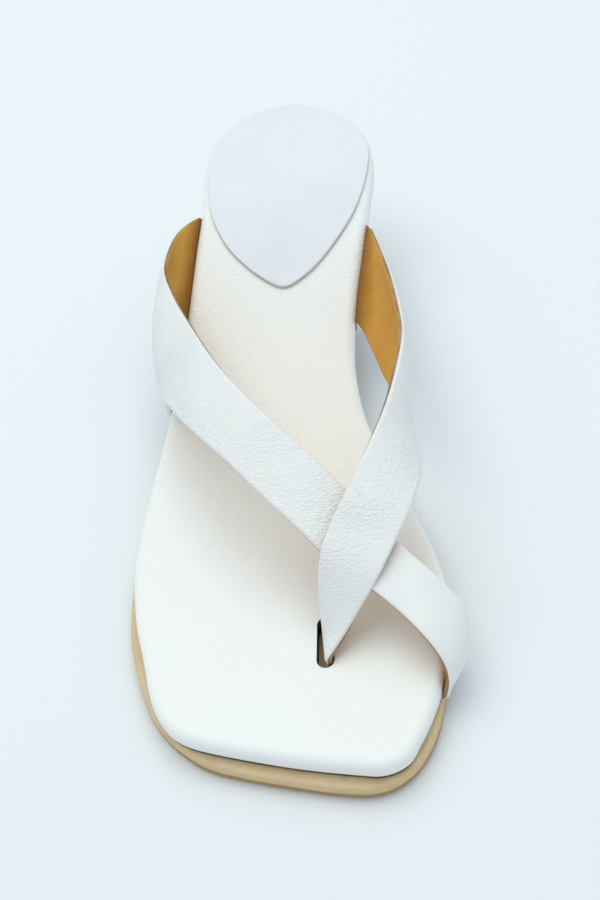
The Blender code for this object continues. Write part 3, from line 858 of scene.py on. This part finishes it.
def slot_distance(x, y, shape):
    """How far a plan point lies outside the slot's edge."""
    middle, unit, aside, half = shape[1:]
    v = np.array((x, y)) - middle
    lengthwise = max(0.0, abs(v @ unit) - half)
    return math.hypot(lengthwise, v @ aside) - SLOT_WIDTH / 2


# The footbed dips by SLOT_DRAW towards its slot, and its mesh is refined REFINEMENTS times within
# SLOT_REFINE of it
SLOT_STEPS = 8
SLOT_DRAW = 0.0007
SLOT_DRAW_REACH = 0.0035
SLOT_DRAW_POWER = 1.5
SLOT_REFINE = 0.010
REFINEMENTS = 2
SLOT_WALL = 0.0003
BED_SWELL = 0.0003
SEAM_INSET = 0.0009
SEAM_RADIUS = 0.00045
SEAM_SIDES = 6
# How level a face's normal is, at most, where the face counts as a wall
WALL_TURN = 0.5
PAD_WALL_TURN = 0.55


def make_footbed(plan, leather, inside):
    loop, across, down = framed_loop(plan, OUTLINE_CORNERS, GRID_CELL)
    shape = slot_outline()

    def top(x, y):
        edge = max(0.0, slot_distance(x, y, shape))
        return bed_top(y) - SLOT_DRAW * math.exp(-(edge / SLOT_DRAW_REACH) ** SLOT_DRAW_POWER)

    mesh = plate(loop, across, down, top, lambda x, y: bed_bottom(y), BED_ROUNDING, BED_SWELL)
    for _ in range(REFINEMENTS):
        close = []
        for edge in mesh.edges:
            middle = (edge.verts[0].co + edge.verts[1].co) / 2
            if middle.z > bed_bottom(middle.y) + BED_THICKNESS / 2:
                if slot_distance(middle.x, middle.y, shape) < SLOT_REFINE:
                    close.append(edge)
        bmesh.ops.subdivide_edges(mesh, edges=close, cuts=1, use_grid_fill=True)
    for vert in mesh.verts:
        x, y, z = vert.co
        if z > bed_bottom(y) + BED_THICKNESS / 2 and slot_distance(x, y, shape) < SLOT_REFINE:
            vert.co.z = top(x, y)
    made = place("footbed_cover", mesh, [leather, inside])
    cutter = slot_prism(shape[0])
    boolean = made.modifiers.new("slot", "BOOLEAN")
    boolean.operation = "DIFFERENCE"
    boolean.solver = "EXACT"
    boolean.object = cutter
    applied(made)
    bpy.data.objects.remove(cutter, do_unlink=True)
    # The slot's walls take the second material, near-black painted shadow
    for face in made.data.polygons:
        x, y = face.center.xy
        if abs(face.normal.z) < WALL_TURN and slot_distance(x, y, shape) < SLOT_WALL:
            face.material_index = 1
    return dress(made, "footbed_leather", "footbed")


def make_seam(plan, brown):
    """A thin dark tube where the footbed sits on the outsole and the heel, coloured as painted shadow of
    the gap between them.
    """
    ring = grown(plan, lambda point: -SEAM_INSET)
    mesh = bmesh.new()
    sections = []
    for i, (x, y) in enumerate(ring):
        run = ring[(i + 1) % len(ring)] - ring[i - 1]
        side = np.array((-run[1], run[0])) / np.linalg.norm(run)
        section = []
        for step in range(SEAM_SIDES):
            angle = math.tau * step / SEAM_SIDES
            aside = side * SEAM_RADIUS * math.cos(angle)
            height = bed_bottom(y) + SEAM_RADIUS * math.sin(angle)
            section.append(mesh.verts.new((x + aside[0], y + aside[1], height)))
        sections.append(section)
    for a, b in zip(sections, sections[1:] + sections[:1]):
        for k in range(SEAM_SIDES):
            ahead = (k + 1) % SEAM_SIDES
            mesh.faces.new((a[k], b[k], b[ahead], a[ahead]))
    bmesh.ops.recalc_face_normals(mesh, faces=mesh.faces[:])
    return dress(place("bed_seam", mesh, [brown]), "footbed_leather", "footbed")


def slot_prism(points):
    mesh = bmesh.new()
    low = bed_bottom(0.0) - BED_THICKNESS
    ring = [mesh.verts.new((x, y, low)) for x, y in points]
    raised = bmesh.ops.extrude_face_region(mesh, geom=[mesh.faces.new(ring)])["geom"]
    risen = [v for v in raised if isinstance(v, bmesh.types.BMVert)]
    bmesh.ops.translate(mesh, vec=(0, 0, 3 * BED_THICKNESS), verts=risen)
    bmesh.ops.recalc_face_normals(mesh, faces=mesh.faces[:])
    return place("slot_prism", mesh, [])


def applied(made):
    """Replaces an object's mesh by what its modifiers make of it."""
    graph = bpy.context.evaluated_depsgraph_get()
    data = bpy.data.meshes.new_from_object(made.evaluated_get(graph))
    made.modifiers.clear()
    made.data = data
    data.shade_smooth()


# Sole, heel and pad
# How near, in metres, a point counts as on a line across the shoe, or as on a cutting plane
ON_LINE = 1e-9
CUT_REACH = 1e-6
HEEL_LEVELS = 12
# Rear corners of the heel's grid: share of LENGTH, share of BALL_WIDTH
HEEL_CORNER = (0.95, 0.25)


def clipped_loop(curve, limit, sign):
    """The part of a closed curve on one side of a line across the shoe, closed by that line."""
    kept = []
    for a, b in zip(curve, curve[1:] + curve[:1]):
        inside_a = sign * (a[1] - limit) >= 0.0
        inside_b = sign * (b[1] - limit) >= 0.0
        if inside_a:
            kept.append(a)
        if inside_a != inside_b:
            t = (limit - a[1]) / (b[1] - a[1])
            kept.append(a + (b - a) * t)
    return kept


def nearest(kept, point):
    return int(np.argmin([np.linalg.norm(p - np.array(point)) for p in kept]))


def make_outsole(rubber):
    outline = closed_curve(SOLE_OUTLINE)
    kept = clipped_loop(outline, along(SOLE_END), -1.0)
    ends = [i for i, p in enumerate(kept) if abs(p[1] - along(SOLE_END)) < ON_LINE]
    toe_corners = [nearest(kept, outline[corner * OUTLINE_STEPS]) for corner in OUTLINE_CORNERS[:2]]
    medial_end = max(ends, key=lambda i: kept[i][0])
    lateral_end = min(ends, key=lambda i: kept[i][0])
    loop, across, down = four_sided(kept, toe_corners + [medial_end, lateral_end], GRID_CELL)
    mesh = plate(loop, across, down, lambda x, y: sole_top(y), lambda x, y: sole_bottom(y), SOLE_ROUNDING)
    return dress(place("outsole_dressed", mesh, [rubber]), "sole_rubber", "outsole")


def tapered(x, y, depth):
    """A point of the heel's plan, drawn in towards the lift; depth is 0 at the seat and 1 at the lift."""
    scale = 1.0 + (LIFT_SCALE - 1.0) * (1.0 - (1.0 - depth) ** 2)
    centre = along(LIFT_CENTRE)
    return x * scale, centre + (y - centre) * scale


def heel_plan(plan):
    return clipped_loop(grown(plan, lambda point: -HEEL_INSET), along(HEEL_BREAST), 1.0)


def heel_loop(plan):
    kept = heel_plan(plan)
    ends = [i for i, p in enumerate(kept) if abs(p[1] - along(HEEL_BREAST)) < ON_LINE]
    medial = max(ends, key=lambda i: kept[i][0])
    lateral = min(ends, key=lambda i: kept[i][0])
    corners = [lateral, medial]
    rear, half = along(HEEL_CORNER[0]), HEEL_CORNER[1] * BALL_WIDTH
    back = [nearest(kept, (side * half, rear)) for side in (1, -1)]
    return four_sided(kept, corners + back, GRID_CELL)


def make_heel(plan, leather, rubber):
    loop, across, down = heel_loop(plan)
    base = LIFT_THICKNESS + JOIN_GAP
    under = bed_bottom(along(HEEL_BREAST)) - JOIN_GAP
    mesh = plate(loop, across, down, lambda x, y: sole_top(y), lambda x, y: base, HEEL_ROUNDING)
    for level in range(1, HEEL_LEVELS):
        height = base + HEEL_ROUNDING + (under - base - 2 * HEEL_ROUNDING) * level / HEEL_LEVELS
        everything = mesh.verts[:] + mesh.edges[:] + mesh.faces[:]
        bmesh.ops.bisect_plane(mesh, geom=everything, dist=CUT_REACH, plane_co=(0, 0, height),
                               plane_no=(0, 0, 1))
    for vert in mesh.verts:
        depth = min(1.0, max(0.0, (under - vert.co.z) / (under - base)))
        vert.co.x, vert.co.y = tapered(vert.co.x, vert.co.y, depth)
    dress(place("heel_cover", mesh, [leather]), "heel_leather", "heel")
    foot = [np.array(tapered(x, y, 1.0)) for x, y in loop]
    lift = plate(foot, across, down, lambda x, y: LIFT_THICKNESS, lambda x, y: 0.0, HEEL_ROUNDING / 2)
    dress(place("lift_dressed", lift, [rubber]), "lift_rubber", "top_lift")


def make_pad(leather, edge):
    loop, across, down = framed_loop(closed_curve(PAD_OUTLINE), PAD_CORNERS, GRID_CELL)

    def low(x, y):
        return bed_top(y) + JOIN_GAP

    def high(x, y):
        return bed_top(y) + JOIN_GAP + PAD_THICKNESS

    mesh = plate(loop, across, down, high, low, PAD_ROUNDING)
    for face in mesh.faces:
        if abs(face.normal.z) < PAD_WALL_TURN:
            face.material_index = 1
    dress(place("heel_pad_dressed", mesh, [leather, edge]), "pad_leather", "heel_pad")


# Stage
def make_floor():
    bpy.ops.mesh.primitive_grid_add(x_subdivisions=2, y_subdivisions=2, size=FLOOR_SIZE, location=(0, 0, 0))
    floor = bpy.context.object
    floor.name = "floor"
    made, tree, shader, where = new_material("floor_paper")
    tone = ranged(tree, noise(tree, where, 3.0, 2.0), 0.35, 0.65)
    deeper = tuple(FLOOR_SHADE * c for c in FLOOR_COLOUR)
    tree.links.new(mixed(tree, tone, FLOOR_COLOUR, deeper), shader.inputs["Base Color"])
    bumped(tree, shader, noise(tree, where, 700.0, 3.0), FLOOR_BUMP)
    shader.inputs["Roughness"].default_value = 0.75
    floor.data.materials.append(made)


def make_camera():
    data = bpy.data.cameras.new("camera")
    camera = bpy.data.objects.new("camera", data)
    bpy.context.scene.collection.objects.link(camera)
    backwards = (Vector(CAMERA_PLACE) - Vector(CAMERA_AIM)).normalized()
    right = Vector(CAMERA_UP).cross(backwards).normalized()
    up = backwards.cross(right)
    turned = Matrix((right, up, backwards)).transposed().to_4x4()
    camera.matrix_world = Matrix.Translation(CAMERA_PLACE) @ turned
    data.sensor_fit = "VERTICAL"
    data.sensor_height = SENSOR_HEIGHT
    data.lens = CAMERA_LENS
    data.clip_start = 0.01
    bpy.context.scene.camera = camera


def area_light(name, at, aim, size, power, colour):
    data = bpy.data.lights.new(name, "AREA")
    data.shape = "RECTANGLE"
    data.size, data.size_y = size
    data.energy = power
    data.color = colour
    made = bpy.data.objects.new(name, data)
    bpy.context.scene.collection.objects.link(made)
    made.location = at
    made.rotation_euler = (Vector(aim) - Vector(at)).to_track_quat("-Z", "Y").to_euler()


def make_lights():
    world = bpy.data.worlds.new("studio")
    bpy.context.scene.world = world
    world.use_nodes = True
    sky = world.node_tree.nodes["Background"]
    sky.inputs["Color"].default_value = (*SKY_COLOUR, 1.0)
    sky.inputs["Strength"].default_value = SKY_STRENGTH
    area_light("top_soft", SOFT_BOX_PLACE, SOFT_BOX_AIM, SOFT_BOX_SIZE, SOFT_BOX_POWER, SOFT_BOX_COLOUR)
    bpy.context.scene.view_settings.view_transform = "Standard"


def main():
    plan = closed_curve(OUTLINE)
    strap_white = grained_leather("strap_white", calm=calm_toe_loop, **STRAP_LEATHER)
    lining = lining_leather("strap_lining")
    cut_edge = raw_edge("strap_edge", CUT_EDGE, CUT_EDGE_SHADE)
    bed_white = grained_leather("bed_white", calm=calm_forefoot, **BED_LEATHER)
    heel_white = grained_leather("heel_white", **HEEL_LEATHER)
    pad_grey = smooth_leather("pad_grey", PAD, PAD_SHADE, PAD_ROUGHNESS)
    pad_edge = raw_edge("pad_edge", PAD_EDGE, PAD_EDGE_SHADE)
    slot_painted_shadow = raw_edge("slot_painted_shadow", SLOT_PAINTED_SHADOW, SLOT_PAINTED_SHADOW_DEEP)
    seam_painted_shadow = raw_edge("seam_painted_shadow", SEAM_PAINTED_SHADOW, SEAM_PAINTED_SHADOW_DEEP)
    rubber = sole_rubber("sole_tan")
    make_straps(plan, [strap_white, lining, cut_edge])
    make_footbed(plan, bed_white, slot_painted_shadow)
    make_seam(plan, seam_painted_shadow)
    make_outsole(rubber)
    make_heel(plan, heel_white, rubber)
    make_pad(pad_grey, pad_edge)
    make_floor()
    make_camera()
    make_lights()


main()
